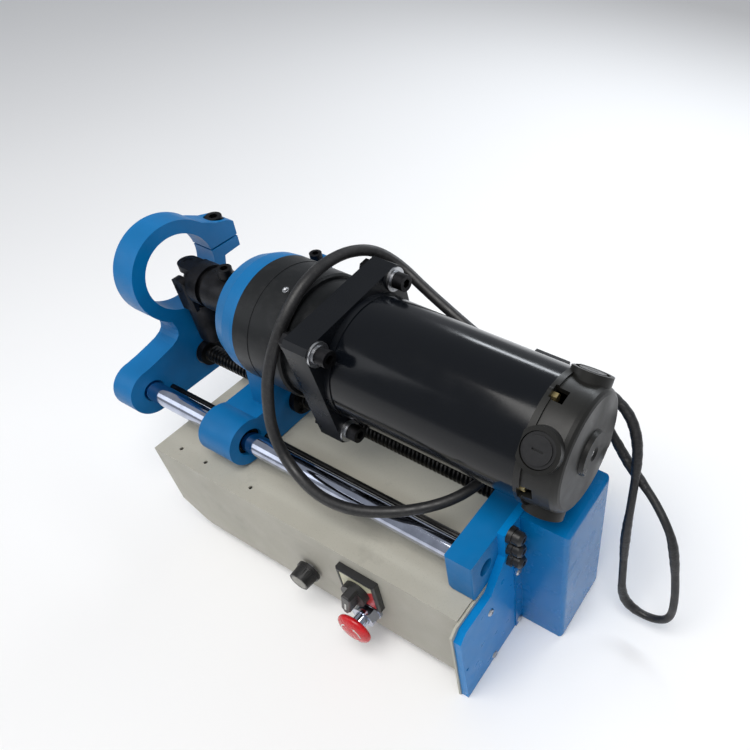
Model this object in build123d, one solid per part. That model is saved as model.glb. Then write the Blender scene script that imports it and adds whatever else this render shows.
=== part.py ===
from build123d import *
from math import atan2, ceil, cos, hypot, pi, radians, sin, sqrt, tan
import os

# Portable line boring drive unit. Millimetres. Sizes are first given in machine coordinates:
# x = 0 at the front wall of the base box, y = 0 at its control side, z = 0 at its top sheet.
# Every node is then moved so that the frame's origin is the middle of the bottom.

# ---- base box
BASE_L = 400.0          # box with its end flange and rear mounting face
BASE_D = 260.0
BASE_H = 116.0
SHEET = 2.0
NOSE_CUT_X = 30.0       # lower front corner is cut off
NOSE_CUT_Z = 26.0
FLANGE_T = 2.5          # pale end flange between box and rear plate
FLANGE_LIP = 13.0       # how far it stands out past the side walls
FOOT_DROP = 18.0        # end flange and rear plate reach below the box
PLATE_T = 8.0
PLATE_LIP = 11.4
LEDGE_Z = -8.4          # low shoulder of the rear plate
PLATE_TOP = 57.0
PLATE_UP_Y = 66.0       # where the tall middle part of the rear plate starts
LEDGE_Y = 40.0
# ---- guide way
ROD_R = 11.0
ROD_Y = 45.7
ROD_Z = 27.8
BLOCK_X = 29.0          # rod block thickness
BLOCK_Y = 24.2
BLOCK_Z = 53.5
ROD_SEAT = 8.0          # web left behind the rods in the block
ROD_SEAT_R = 9.0
WIRE_POCKET = 12.0      # wiring slot behind the rear plate, down into the box
STOP_ROD_R = 3.5
STOP_ROD_Y = 65.5
STOP_ROD_Z = 17.0
SCREW_R = 10.0
SCREW_CORE_R = 7.5
SCREW_PITCH = 5.0
SCREW_Y = 121.5
SCREW_Z = 29.5
# ---- front bracket
BRK_X0 = -69.0
BRK_X1 = -40.0
AXIS_Y = 129.9          # boring axis: ring, joint, gearbox and motor
AXIS_Z = 136.1
RING_RO = 57.1
RING_RI = 42.4
SPLIT = 2.0
LOBE_R = 28.1
# ---- carriage
CAR_X0 = 62.0
CAR_X1 = 107.0
BOSS_R = 26.6
NOSE_X = 78.7
NOSE_R = 57.1
GEAR_X = 109.1
GEAR_R = 64.3
SADDLE_Z0 = 1.2
SADDLE_Z1 = 49.0
BUSH_R = 15.0
# ---- gearbox and motor
SPACER_X = 128.5
RINGGEAR_X = 132.8
ADAPTER_X = 168.0
SQUARE_X = 193.0
SQUARE_X1 = 220.0
TUBE_X = 226.5
TUBE_X1 = 417.0
BELL_X1 = 455.0
MOTOR_R = 62.0
BELL_R1 = 57.5
SQUARE_H = 66.0         # half width of the square flange
BOLT_Q = 54.0           # bolt offset from the axis, both ways
ROLL = 6.0              # motor sits turned by this much about the boring axis
SUN_R = 10.0
PLANET_R = 14.0
RINGGEAR_R = SUN_R + 2 * PLANET_R
GEAR_GAP = 0.3
RUN = 0.05              # radial running clearance
GAP = 0.4               # free clearance between bodies
# ---- universal joint
CROSS_X = -20.0
# ---- rear feed cover
COVER_X1 = BASE_L + 59.0
COVER_Y0 = 92.0
COVER_Y1 = 177.0
COVER_TOP = 56.0
COVER_T = 1.5
PULLEY_DROP = 68.0
# ---- controls
KNOB_X, KNOB_Z = 206.0, -71.0
SEL_X, SEL_Z, SEL_W = 280.4, -41.0, 48.0
HANDLE_TURN = 12.0
STOP_X, STOP_Z = 283.4, -83.5
STOP_REACH = 33.5

REAR = BASE_L
BOARD_Z = 16.0 - BASE_H      # underside of the control board, on its posts
FLOOR = -(BASE_H + FOOT_DROP)
FAR_ROD_Y = 2 * AXIS_Y - ROD_Y
END_X = REAR - FLANGE_T
ORIGIN = Vector((BRK_X0 + COVER_X1) / 2, (BASE_D + FLANGE_LIP - STOP_REACH) / 2, FLOOR)


def block(x0, x1, y0, y1, z0, z1):
    return Pos((x0 + x1) / 2, (y0 + y1) / 2, (z0 + z1) / 2) * Box(x1 - x0, y1 - y0, z1 - z0)


def cyl_x(x0, x1, y, z, r):
    return Pos((x0 + x1) / 2, y, z) * Rot(0, 90, 0) * Cylinder(r, x1 - x0)


def cyl_y(y0, y1, x, z, r):
    return Pos(x, (y0 + y1) / 2, z) * Rot(90, 0, 0) * Cylinder(r, y1 - y0)


def cyl_z(z0, z1, x, y, r):
    return Pos(x, y, (z0 + z1) / 2) * Cylinder(r, z1 - z0)


def prism_x(points, x0, x1):
    face = Plane(origin=(x0, 0, 0), x_dir=(0, 1, 0), z_dir=(1, 0, 0)) * make_face(Polyline(*points, close=True))
    return extrude(face, x1 - x0)


def prism_y(points, y0, y1):
    face = Plane(origin=(0, y1, 0), x_dir=(1, 0, 0), z_dir=(0, -1, 0)) * make_face(Polyline(*points, close=True))
    return extrude(face, y1 - y0)


def turned(profile, y, z):
    """Solid of revolution about the X-parallel axis through (y, z); profile is (x, radius) points."""
    face = make_face(Polyline(*profile, close=True))
    return Pos(0, y, z) * revolve(face, Axis.X, 360)


def on_axis(profile):
    return turned(profile, AXIS_Y, AXIS_Z)


def rolled(shape, angle):
    """Turns a shape about the boring axis."""
    return shape.rotate(Axis((0, AXIS_Y, AXIS_Z), (1, 0, 0)), angle)


def hexagon_x(x0, x1, y, z, flats):
    r = flats / sqrt(3)
    pts = [(y + r * cos(radians(60 * i)), z + r * sin(radians(60 * i))) for i in range(6)]
    return prism_x(pts, x0, x1)


# ------------------------------------------------------------------ base
def base_shell():
    outer = [(0, 0), (END_X, 0), (END_X, -BASE_H + SHEET), (NOSE_CUT_X, -BASE_H + SHEET), (0, -BASE_H + NOSE_CUT_Z)]
    run = hypot(NOSE_CUT_X, NOSE_CUT_Z - SHEET)
    slope = (NOSE_CUT_Z - SHEET) / NOSE_CUT_X
    zin = -BASE_H + NOSE_CUT_Z + SHEET * run / NOSE_CUT_X - SHEET * slope
    xin = NOSE_CUT_X + SHEET * run / (NOSE_CUT_Z - SHEET)
    inner = [(SHEET, -SHEET), (END_X + 1, -SHEET), (END_X + 1, -BASE_H - 1), (xin, -BASE_H - 1)]
    inner += [(xin, -BASE_H + SHEET), (SHEET, zin)]
    body = prism_y(outer, 0, BASE_D) - prism_y(inner, SHEET, BASE_D - SHEET)
    for x in (26, 63, 129):
        body -= cyl_z(-5, 5, x, 14, 2.1)
    body -= cyl_z(-5, 5, GLAND_X, GLAND_Y, 8.0)
    body -= cyl_z(-5, 5, END_X - 6, gland_spots()[0][0], 4.0)
    body -= cyl_y(-5, 5, KNOB_X, KNOB_Z, 3.6)
    body -= cyl_y(-5, 5, SEL_X, SEL_Z, 11.2)
    body -= cyl_y(-5, 5, STOP_X, STOP_Z, 11.2)
    return body


def base_bottom_cover():
    body = block(NOSE_CUT_X + 4, END_X, 0, BASE_D, -BASE_H, -BASE_H + SHEET)
    for x in (90, 200, 310):
        for y in (60, 200):
            body -= block(x - 15, x + 15, y - 1.5, y + 1.5, -BASE_H - 1, -BASE_H + SHEET + 1)
    return body


def base_end_flange():
    y0, y1 = -FLANGE_LIP, BASE_D + FLANGE_LIP
    pts = [(y0, FLOOR), (y1, FLOOR), (y1, -10), (y1 - 8, -3), (y0 + 8, -3), (y0, -10)]
    body = prism_x(pts, END_X, REAR)
    body -= block(END_X - 1, REAR + 1, 60, 200, -70, -12)
    for y, z in plate_screw_spots():
        body -= cyl_x(END_X - 1, REAR + 1, y, z, 2.6)
    return body


def plate_outline():
    y0 = -PLATE_LIP
    low = [(y0, FLOOR), (y0, LEDGE_Z - 9), (y0 + 10, LEDGE_Z), (LEDGE_Y, LEDGE_Z), (PLATE_UP_Y, 22)]
    low += [(PLATE_UP_Y, PLATE_TOP)]
    return low + [(2 * AXIS_Y - y, z) for y, z in reversed(low)]


def plate_screw_spots():
    near = [(36.7, -34.0), (37.7, -127.0)]
    return near + [(2 * AXIS_Y - y, z) for y, z in near]


def cover_screw_spots():
    return [(86.0, -127.0), (86.0, -30.0), (2 * AXIS_Y - 76.6, -127.0), (2 * AXIS_Y - 76.6, -30.0)]


def gland_spots():
    return [(74.5, z) for z in (50.5, 31.5, 12.5)]


def rear_plate():
    body = prism_x(plate_outline(), REAR, REAR + PLATE_T)
    body -= cyl_x(REAR - 1, REAR + PLATE_T + 1, SCREW_Y, SCREW_Z, SCREW_CORE_R + 1)
    body -= cyl_x(REAR - 1, REAR + PLATE_T + 1, SCREW_Y, SCREW_Z - PULLEY_DROP, 9)
    for y, z in plate_screw_spots() + cover_screw_spots():
        body -= cyl_x(REAR - 1, REAR + PLATE_T + 1, y, z, 2.6)
    for y, z in gland_spots():
        body -= cyl_x(REAR - 1, REAR + PLATE_T + 1, y, z, 6.0)
    body -= cyl_x(REAR - 1, REAR + PLATE_T + 1, -6.5, -76, 2.0)
    return body


def rod_block():
    y1 = 2 * AXIS_Y - BLOCK_Y
    body = block(REAR - BLOCK_X, REAR, BLOCK_Y, y1, 0, BLOCK_Z)
    body = fillet(body.edges().filter_by(Axis.Y).group_by(Axis.X)[0].group_by(Axis.Z)[0], 7)
    body = fillet(body.edges().filter_by(Axis.Z), 2)
    for y in (ROD_Y, FAR_ROD_Y):
        body -= cyl_x(REAR - BLOCK_X - 1, REAR - ROD_SEAT, y, ROD_Z, ROD_R)
        body -= cyl_x(REAR - ROD_SEAT - 1, REAR + 1, y, ROD_Z, ROD_SEAT_R)
    body -= cyl_x(REAR - BLOCK_X - 1, REAR - BLOCK_X + 14, STOP_ROD_Y, STOP_ROD_Z, STOP_ROD_R)
    body -= cyl_x(REAR - BLOCK_X - 1, REAR + 1, SCREW_Y, SCREW_Z, SCREW_CORE_R + 1)
    body -= cyl_x(REAR - BLOCK_X - 1, REAR - BLOCK_X + 12, SCREW_Y, SCREW_Z, 16)
    gy = gland_spots()[0][0]
    body -= block(REAR - WIRE_POCKET, REAR + 1, gy - 5, gy + 5, -1, BLOCK_Z - 2)
    return body


def front_bracket():
    x0, x1 = BRK_X0, BRK_X1
    zb = ROD_Z - LOBE_R
    top = ROD_Z + LOBE_R
    neck = AXIS_Y - 33
    half = [(ROD_Y, zb), (AXIS_Y, zb), (AXIS_Y, AXIS_Z), (neck, AXIS_Z - 46.6), (neck + 1.9, 82), (neck + 1.8, 76)]
    half += [(neck + 0.2, 71), (neck - 4, 67), (neck - 11, 63.7), (neck - 22, 61), (ROD_Y + 13, top + 1.8)]
    half += [(ROD_Y, top)]
    far = [(2 * AXIS_Y - y, z) for y, z in half]
    body = prism_x(half, x0, x1) + prism_x(far, x0, x1)
    body += cyl_x(x0, x1, ROD_Y, ROD_Z, LOBE_R) + cyl_x(x0, x1, FAR_ROD_Y, ROD_Z, LOBE_R)
    body += cyl_x(x0, x1, AXIS_Y, AXIS_Z, RING_RO)
    lug = [(168, 122), (184, 125), (208.5, 126.5), (209.5, 147), (210, 157), (203, 161.5), (189, 165.5)]
    lug += [(176, 172.5), (160, 180)]
    body += prism_x(lug, x0, x1)
    body -= cyl_x(x0 - 1, x1 + 1, AXIS_Y, AXIS_Z, RING_RI)
    split_z = AXIS_Z + 3.5
    body -= block(x0 - 1, x1 + 1, AXIS_Y + RING_RI - 5, 220, split_z - SPLIT / 2, split_z + SPLIT / 2)
    body -= cyl_z(120, 200, CLAMP_X, CLAMP_Y, 5.0)
    body -= cyl_z(CLAMP_Z, 200, CLAMP_X, CLAMP_Y, 10.5)
    for y in (ROD_Y, FAR_ROD_Y):
        body -= cyl_x(x0 + 4, x1 + 1, y, ROD_Z, ROD_R)
        body -= cyl_x(x1 - 3, x1 + 1, y, ROD_Z, ROD_R + 1.6)
    body -= cyl_x(x1 - 14, x1 + 1, STOP_ROD_Y, STOP_ROD_Z, STOP_ROD_R)
    body -= cyl_x(x0 - 1, x1 + 1, SCREW_Y, SCREW_Z, SCREW_CORE_R + 1)
    body -= cyl_x(x1 - 12, x1 + 1, SCREW_Y, SCREW_Z, 16)
    return body


CLAMP_X = -54.5
CLAMP_Y = 197.5
CLAMP_Z = 153.0
GLAND_X = 358.0
GLAND_Y = 172.0
GLAND_TOP = 10.0


def cap_screw_z(x, y, z, r, head_r, head_h, length):
    """Socket head screw standing on z, shank down."""
    body = cyl_z(z - length, z, x, y, r) + cyl_z(z, z + head_h, x, y, head_r)
    pts = [(x + head_r * 0.55 * cos(radians(60 * i)), y + head_r * 0.55 * sin(radians(60 * i))) for i in range(6)]
    socket = Plane.XY.offset(z + head_h * 0.4) * make_face(Polyline(*pts, close=True))
    return body - extrude(socket, head_h)


def bracket_clamp_screw():
    return cap_screw_z(CLAMP_X, CLAMP_Y, CLAMP_Z, 5.0, 9.0, 12.0, 33.0)


def guide_rods():
    return [cyl_x(BRK_X0 + 4, REAR - ROD_SEAT, y, ROD_Z, ROD_R) for y in (ROD_Y, FAR_ROD_Y)]


def stop_rod():
    return cyl_x(BRK_X1 - 14, REAR - BLOCK_X + 14, STOP_ROD_Y, STOP_ROD_Z, STOP_ROD_R)


def pan_screw_x(x, y, z, r, head_r, length):
    """Cross head screw whose head stands on x, pointing to the rear."""
    body = cyl_x(x - length, x, y, z, r)
    head = turned([(x, 0), (x, head_r), (x + head_r * 0.35, head_r * 0.8), (x + head_r * 0.5, 0)], y, z)
    cross = block(x + head_r * 0.3, x + head_r, y - head_r * 0.6, y + head_r * 0.6, z - 0.4, z + 0.4)
    cross += block(x + head_r * 0.3, x + head_r, y - 0.4, y + 0.4, z - head_r * 0.6, z + head_r * 0.6)
    return body + head - cross


def plate_screws():
    out = [pan_screw_x(REAR + PLATE_T, y, z, 2.5, 4.4, 13) for y, z in plate_screw_spots()]
    out += [pan_screw_x(REAR + PLATE_T + COVER_T, y, z, 2.5, 4.4, COVER_T + PLATE_T - 1) for y, z in cover_screw_spots()]
    return out


def feed_box_cover():
    x0 = REAR + PLATE_T
    y0, y1 = COVER_Y0, COVER_Y1
    outer = block(x0, COVER_X1, y0, y1, FLOOR, COVER_TOP)
    edges = outer.edges().group_by(Axis.X)[-1]
    outer = fillet(edges, 5)
    inner = block(x0 - 1, COVER_X1 - COVER_T, y0 + COVER_T, y1 - COVER_T, FLOOR + COVER_T, COVER_TOP - COVER_T)
    inner = fillet(inner.edges().group_by(Axis.X)[-1], 3.5)
    body = outer - inner
    body += block(x0, x0 + COVER_T, y0 - 13, y0 + COVER_T, FLOOR, -15)
    body += block(x0, x0 + COVER_T, y1 - COVER_T, y1 + 13, FLOOR, -15)
    for y, z in cover_screw_spots():
        body -= cyl_x(x0 - 1, x0 + 3, y, z, 2.6)
    return body


def cable_glands():
    out = []
    x = REAR + PLATE_T
    for y, z in gland_spots():
        body = cyl_x(REAR + 1, x, y, z, 6.0) + cyl_x(x, x + 5, y, z, 8.5) + cyl_x(x + 5, x + 12, y, z, 7.0)
        body += turned([(x + 12, 0), (x + 12, 7), (x + 15, 5), (x + 15, 0)], y, z)
        out.append(body - cyl_x(REAR, x + 16, y, z, 3.0))
    return out


def base_gland():
    body = cyl_z(-8, 0, GLAND_X, GLAND_Y, 8.0) + cyl_z(0, 4, GLAND_X, GLAND_Y, 10.5)
    body += cyl_z(4, GLAND_TOP, GLAND_X, GLAND_Y, 9)
    return body - cyl_z(-9, GLAND_TOP + 1, GLAND_X, GLAND_Y, CORD_R - 1)


def control_board():
    low = BOARD_Z + 1.6
    board = block(60, 190, 60, 180, BOARD_Z, low)
    sink = block(70, 120, 80, 160, low, BOARD_Z + 6)
    for i in range(6):
        sink += block(72 + 9 * i, 74 + 9 * i, 80, 160, BOARD_Z + 6, BOARD_Z + 24)
    caps = cyl_z(low, BOARD_Z + 36, 150, 90, 13) + cyl_z(low, BOARD_Z + 36, 150, 122, 13)
    caps += block(138, 170, 144, 172, low, BOARD_Z + 20)
    posts = [cyl_z(-BASE_H + SHEET, BOARD_Z, x, y, 3.5) for x in (66, 184) for y in (66, 174)]
    body = board + sink + caps
    for post in posts:
        body += post
    return body


def speed_pot():
    body = cyl_y(SHEET, 14, KNOB_X, KNOB_Z, 12) + cyl_y(-5, SHEET, KNOB_X, KNOB_Z, 3.6)
    nut = Plane(origin=(KNOB_X, 0, KNOB_Z), x_dir=(1, 0, 0), z_dir=(0, -1, 0)) * RegularPolygon(6.4, 6)
    body += extrude(nut, 2.2)
    return body - cyl_y(-6, 9, KNOB_X, KNOB_Z, 3.0 + RUN)


def selector_switch():
    h = SEL_W / 2
    plate = block(SEL_X - h, SEL_X + h, -7.5, 0, SEL_Z - h, SEL_Z + h)
    plate = chamfer(plate.edges().group_by(Axis.Y)[0], 1.6)
    face = block(SEL_X - h + 3.5, SEL_X + h - 3.5, -8, -6.7, SEL_Z - h + 3.5, SEL_Z + h - 3.5)
    body = plate - face
    body += cyl_y(0, SHEET, SEL_X, SEL_Z, 11.2)
    body += block(SEL_X - 22, SEL_X + 22, SHEET, 52, SEL_Z - 22, SEL_Z + 22)
    return body - cyl_y(-9, 30, SEL_X, SEL_Z, 5.0 + RUN)


def selector_handle():
    """Pointer handle: round base with a broad grip blade, arrow end down to the left."""
    spin = HANDLE_TURN
    body = cyl_y(-15, -6.7 - GAP, SEL_X, SEL_Z, 14.5)
    blade = [(-5.5, -14), (-3, -17), (3, -17), (5.5, -14), (5.5, 12), (2, 19), (-2, 19), (-5.5, 12)]
    face = Plane(origin=(0, -13, 0), x_dir=(1, 0, 0), z_dir=(0, -1, 0)) * make_face(Polyline(*blade, close=True))
    grip = extrude(face, 12.5)
    grip = fillet(grip.edges().group_by(Axis.Y)[0], 1.5)
    grip = Pos(SEL_X, 0, SEL_Z) * Rot(0, 180 + spin, 0) * grip
    body += grip
    return body + cyl_y(-8, 28, SEL_X, SEL_Z, 5.0)


def estop_collar():
    body = cyl_y(-3, 0, STOP_X, STOP_Z, 14.5) + cyl_y(-14, -3, STOP_X, STOP_Z, 13.2)
    body += cyl_y(0, 22, STOP_X, STOP_Z, 11.2)
    body += cyl_y(SHEET, SHEET + 5, STOP_X, STOP_Z, 14.5)
    return body - cyl_y(-15, 23, STOP_X, STOP_Z, 8.0 + GAP)


def estop_contact_block():
    return block(STOP_X - 15, STOP_X + 15, 22, 50, STOP_Z - 16, STOP_Z + 17) - cyl_y(21, 34, STOP_X, STOP_Z, 5)


def estop_button():
    prof = [(0, -16.4), (14, -16.4), (19.2, -20), (20.2, -24.5), (18.6, -29.5), (12, -STOP_REACH), (0, -STOP_REACH)]
    plane = Plane(origin=(STOP_X, 0, STOP_Z), x_dir=(1, 0, 0), z_dir=(0, 0, 1))
    cap = revolve(plane * make_face(Polyline(*prof, close=True)), Axis((STOP_X, 0, STOP_Z), (0, 1, 0)), 360)
    cap -= cyl_y(-22, -10, STOP_X, STOP_Z, 13.8)
    return cap + cyl_y(-23, 17, STOP_X, STOP_Z, 8.0) + cyl_y(16, 26, STOP_X, STOP_Z, 4.0)


def speed_knob():
    body = cyl_y(-7.5, -3.6, KNOB_X, KNOB_Z, 13.8)
    body += Pos(KNOB_X, -14, KNOB_Z) * Rot(90, 0, 0) * Cone(12.6, 11.6, 13)
    for i in range(24):
        a = radians(15 * i)
        body -= cyl_y(-25, -8.5, KNOB_X + 12.9 * cos(a), KNOB_Z + 12.9 * sin(a), 1.0)
    body -= cyl_y(-6.2, -3, KNOB_X, KNOB_Z, 7.0)
    body -= block(KNOB_X - 0.6, KNOB_X + 0.6, -22, -19.8, KNOB_Z + 4, KNOB_Z + 13)
    return body + cyl_y(-10, 8, KNOB_X, KNOB_Z, 3.0)


def feed_motor():
    y, z = SCREW_Y, SCREW_Z - PULLEY_DROP
    body = cyl_x(REAR - 96, REAR - 40, y, z, 27)
    body += block(REAR - 40, REAR, y - 30, y + 30, z - 26, z + 26)
    return body - cyl_x(REAR - 20, REAR + 1, y, z, 5.0 + RUN)


def screw_bearings():
    out = []
    for x0 in (BRK_X1 - 12, REAR - BLOCK_X):
        ring = cyl_x(x0, x0 + 12, SCREW_Y, SCREW_Z, 16) - cyl_x(x0 - 1, x0 + 13, SCREW_Y, SCREW_Z, SCREW_CORE_R + RUN)
        out.append(ring)
    return out


# ------------------------------------------------------------------ carriage
CAR_CLAMP_X = 93.0
CAR_CLAMP_Y = 201.0
CAR_CLAMP_Z = 158.0
BRUSH_X = 433.0


def carriage_casting():
    x0, x1 = CAR_X0, CAR_X1
    body = block(x0, x1, ROD_Y, FAR_ROD_Y, SADDLE_Z0, SADDLE_Z1)
    body += cyl_x(x0, x1, ROD_Y, ROD_Z, BOSS_R) + cyl_x(x0, x1, FAR_ROD_Y, ROD_Z, BOSS_R)
    web = [(78, SADDLE_Z1 - 10), (2 * AXIS_Y - 78, SADDLE_Z1 - 10), (2 * AXIS_Y - 84, 92), (84, 92)]
    body += prism_x(web, NOSE_X + 6, x1)
    edge = (NOSE_X + GEAR_X) / 2
    body += on_axis([(NOSE_X, 0), (NOSE_X, NOSE_R), (edge, GEAR_R - 1.2), (GEAR_X - 4, GEAR_R), (GEAR_X, GEAR_R), (GEAR_X, 0)])
    body += block(NOSE_X + 8, GEAR_X - 8, AXIS_Y + 50, CAR_CLAMP_Y + 11, 142, CAR_CLAMP_Z)
    body += block(NOSE_X + 8, GEAR_X - 8, AXIS_Y + 50, CAR_CLAMP_Y + 11, 122, 139)
    body -= cyl_x(NOSE_X + 5, GEAR_X + 1, AXIS_Y, AXIS_Z, 48.0)
    body -= cyl_x(NOSE_X - 1, GEAR_X, AXIS_Y, AXIS_Z, 24.0)
    body -= block(NOSE_X - 1, GEAR_X + 1, AXIS_Y + 40, 240, 139, 142)
    body -= cyl_z(110, 180, CAR_CLAMP_X, CAR_CLAMP_Y, 4.0)
    for y in (ROD_Y, FAR_ROD_Y):
        body -= cyl_x(x0 - 1, x1 + 1, y, ROD_Z, BUSH_R)
    body -= cyl_x(x0 - 1, x1 + 1, STOP_ROD_Y, STOP_ROD_Z, STOP_ROD_R + 0.8)
    body -= cyl_x(x0 - 1, x1 + 1, SCREW_Y, SCREW_Z, 13.0)
    return body


def carriage_bushes():
    out = []
    for y in (ROD_Y, FAR_ROD_Y):
        for xa in (CAR_X0 + 3, CAR_X1 - 19):
            ring = cyl_x(xa, xa + 14, y, ROD_Z, BUSH_R) - cyl_x(xa - 1, xa + 15, y, ROD_Z, ROD_R + RUN)
            out.append(ring)
    return out


def lead_nut():
    body = cyl_x(CAR_X1 - 30, CAR_X1, SCREW_Y, SCREW_Z, 13.0) + cyl_x(CAR_X1, CAR_X1 + 7, SCREW_Y, SCREW_Z, 18.5)
    body -= cyl_x(CAR_X1 - 31, CAR_X1 + 8, SCREW_Y, SCREW_Z, SCREW_R + GAP)
    for i in range(4):
        a = radians(45 + 90 * i)
        body += hexagon_x(CAR_X1 + 7, CAR_X1 + 9.6, SCREW_Y + 14.6 * cos(a), SCREW_Z + 14.6 * sin(a), 5)
    return body


def carriage_clamp_screw():
    return cap_screw_z(CAR_CLAMP_X, CAR_CLAMP_Y, CAR_CLAMP_Z, 4.0, 6.5, 8.0, 30.0)


def gearbox_nose():
    """Front housing: spigot held in the carriage ring, and the first part of the barrel."""
    prof = [(NOSE_X + 5, 22), (NOSE_X + 5, 48), (GEAR_X, 48), (GEAR_X, GEAR_R), (SPACER_X, GEAR_R)]
    prof += [(SPACER_X, 42), (GEAR_X + 10, 42), (GEAR_X + 10, 22)]
    return on_axis(prof)


def gearbox_spacer_ring():
    return on_axis([(SPACER_X, 42), (SPACER_X, GEAR_R - 0.4), (RINGGEAR_X, GEAR_R - 0.4), (RINGGEAR_X, 42)])


def ring_gear_housing():
    r = RINGGEAR_R + GEAR_GAP
    prof = [(RINGGEAR_X, 42), (RINGGEAR_X, GEAR_R), (ADAPTER_X - 2, GEAR_R), (ADAPTER_X, GEAR_R - 2)]
    prof += [(ADAPTER_X, r), (RINGGEAR_X + 5, r), (RINGGEAR_X + 5, 42)]
    return on_axis(prof) - rolled(cyl_z(AXIS_Z + GEAR_R - 4, AXIS_Z + GEAR_R + 4, 150, AXIS_Y, 3.2), NIPPLE_TURN)


def motor_adapter():
    return on_axis([(ADAPTER_X, 12), (ADAPTER_X, GEAR_R - 5), (SQUARE_X, GEAR_R - 5), (SQUARE_X, 12)])


def square_flange():
    h = SQUARE_H
    plate = block(SQUARE_X, SQUARE_X1, AXIS_Y - h, AXIS_Y + h, AXIS_Z - h, AXIS_Z + h)
    plate = chamfer(plate.edges().filter_by(Axis.X), 5)
    body = rolled(plate, ROLL) + on_axis([(SQUARE_X1, 0), (SQUARE_X1, MOTOR_R + 1), (TUBE_X, MOTOR_R + 1), (TUBE_X, 0)])
    body -= cyl_x(SQUARE_X - 1, SQUARE_X1, AXIS_Y, AXIS_Z, 12)
    body -= cyl_x(SQUARE_X + 8, TUBE_X + 1, AXIS_Y, AXIS_Z, 17.5)
    for i in range(4):
        s = rolled(cyl_x(SQUARE_X - 1, SQUARE_X1 + 1, AXIS_Y + BOLT_Q, AXIS_Z + BOLT_Q, 5.0), ROLL + 90 * i)
        body -= s
        body -= rolled(cyl_x(SQUARE_X1 - 2, TUBE_X + 1, AXIS_Y, AXIS_Z + TIE_R, 2.5), ROLL + 90 * i)
        body -= rolled(cyl_x(SQUARE_X1, TUBE_X + 1, AXIS_Y + BOLT_Q, AXIS_Z + BOLT_Q, 12.5), ROLL + 90 * i)
    return body


TIE_R = 54.2


def flange_screws():
    out = []
    for i in range(4):
        y, z = AXIS_Y + BOLT_Q, AXIS_Z + BOLT_Q
        x = SQUARE_X1 + 3.5
        screw = cyl_x(SQUARE_X - 8, x, y, z, 5.0) + cyl_x(x, x + 11, y, z, 8.2)
        screw -= hexagon_x(x + 5, x + 12, y, z, 8)
        screw += hexagon_x(SQUARE_X - 8, SQUARE_X, y, z, 16)
        out.append(rolled(screw, ROLL + 90 * i))
    return out


def flange_washers():
    out = []
    for i in range(4):
        y, z = AXIS_Y + BOLT_Q, AXIS_Z + BOLT_Q
        ring = cyl_x(SQUARE_X1, SQUARE_X1 + 2.2, y, z, 12.0) - cyl_x(SQUARE_X1 - 1, SQUARE_X1 + 4, y, z, 5.0)
        ring += cyl_x(SQUARE_X1 + 2.2, SQUARE_X1 + 3.5, y, z, 8.6) - cyl_x(SQUARE_X1 - 1, SQUARE_X1 + 4, y, z, 5.0)
        out.append(rolled(ring, ROLL + 90 * i))
    return out


NIPPLE_TURN = 17.0


def grease_nipple():
    body = cyl_z(AXIS_Z + GEAR_R - 4, AXIS_Z + GEAR_R + 1.5, 150, AXIS_Y, 3.2)
    body += Pos(150, AXIS_Y, AXIS_Z + GEAR_R + 1.5) * Sphere(2.4)
    return rolled(body, NIPPLE_TURN)


def motor_tube():
    return on_axis([(TUBE_X, MOTOR_R - 5), (TUBE_X, MOTOR_R), (TUBE_X1, MOTOR_R), (TUBE_X1, MOTOR_R - 5)])


def motor_magnets():
    out = []
    ro, ri = MOTOR_R - 5, 40.0
    x0, x1 = TUBE_X + 22, TUBE_X1 - 38
    for i in range(4):
        pts = []
        for j in range(0, 13):
            t = radians(-33 + 66 * j / 12)
            pts.append((AXIS_Y + ro * 0.999 * cos(t), AXIS_Z + ro * 0.999 * sin(t)))
        for j in range(12, -1, -1):
            t = radians(-33 + 66 * j / 12)
            pts.append((AXIS_Y + ri / cos(radians(2.75)) * cos(t), AXIS_Z + ri / cos(radians(2.75)) * sin(t)))
        out.append(rolled(prism_x(pts, x0, x1), ROLL + 45 + 90 * i))
    return out


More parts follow.
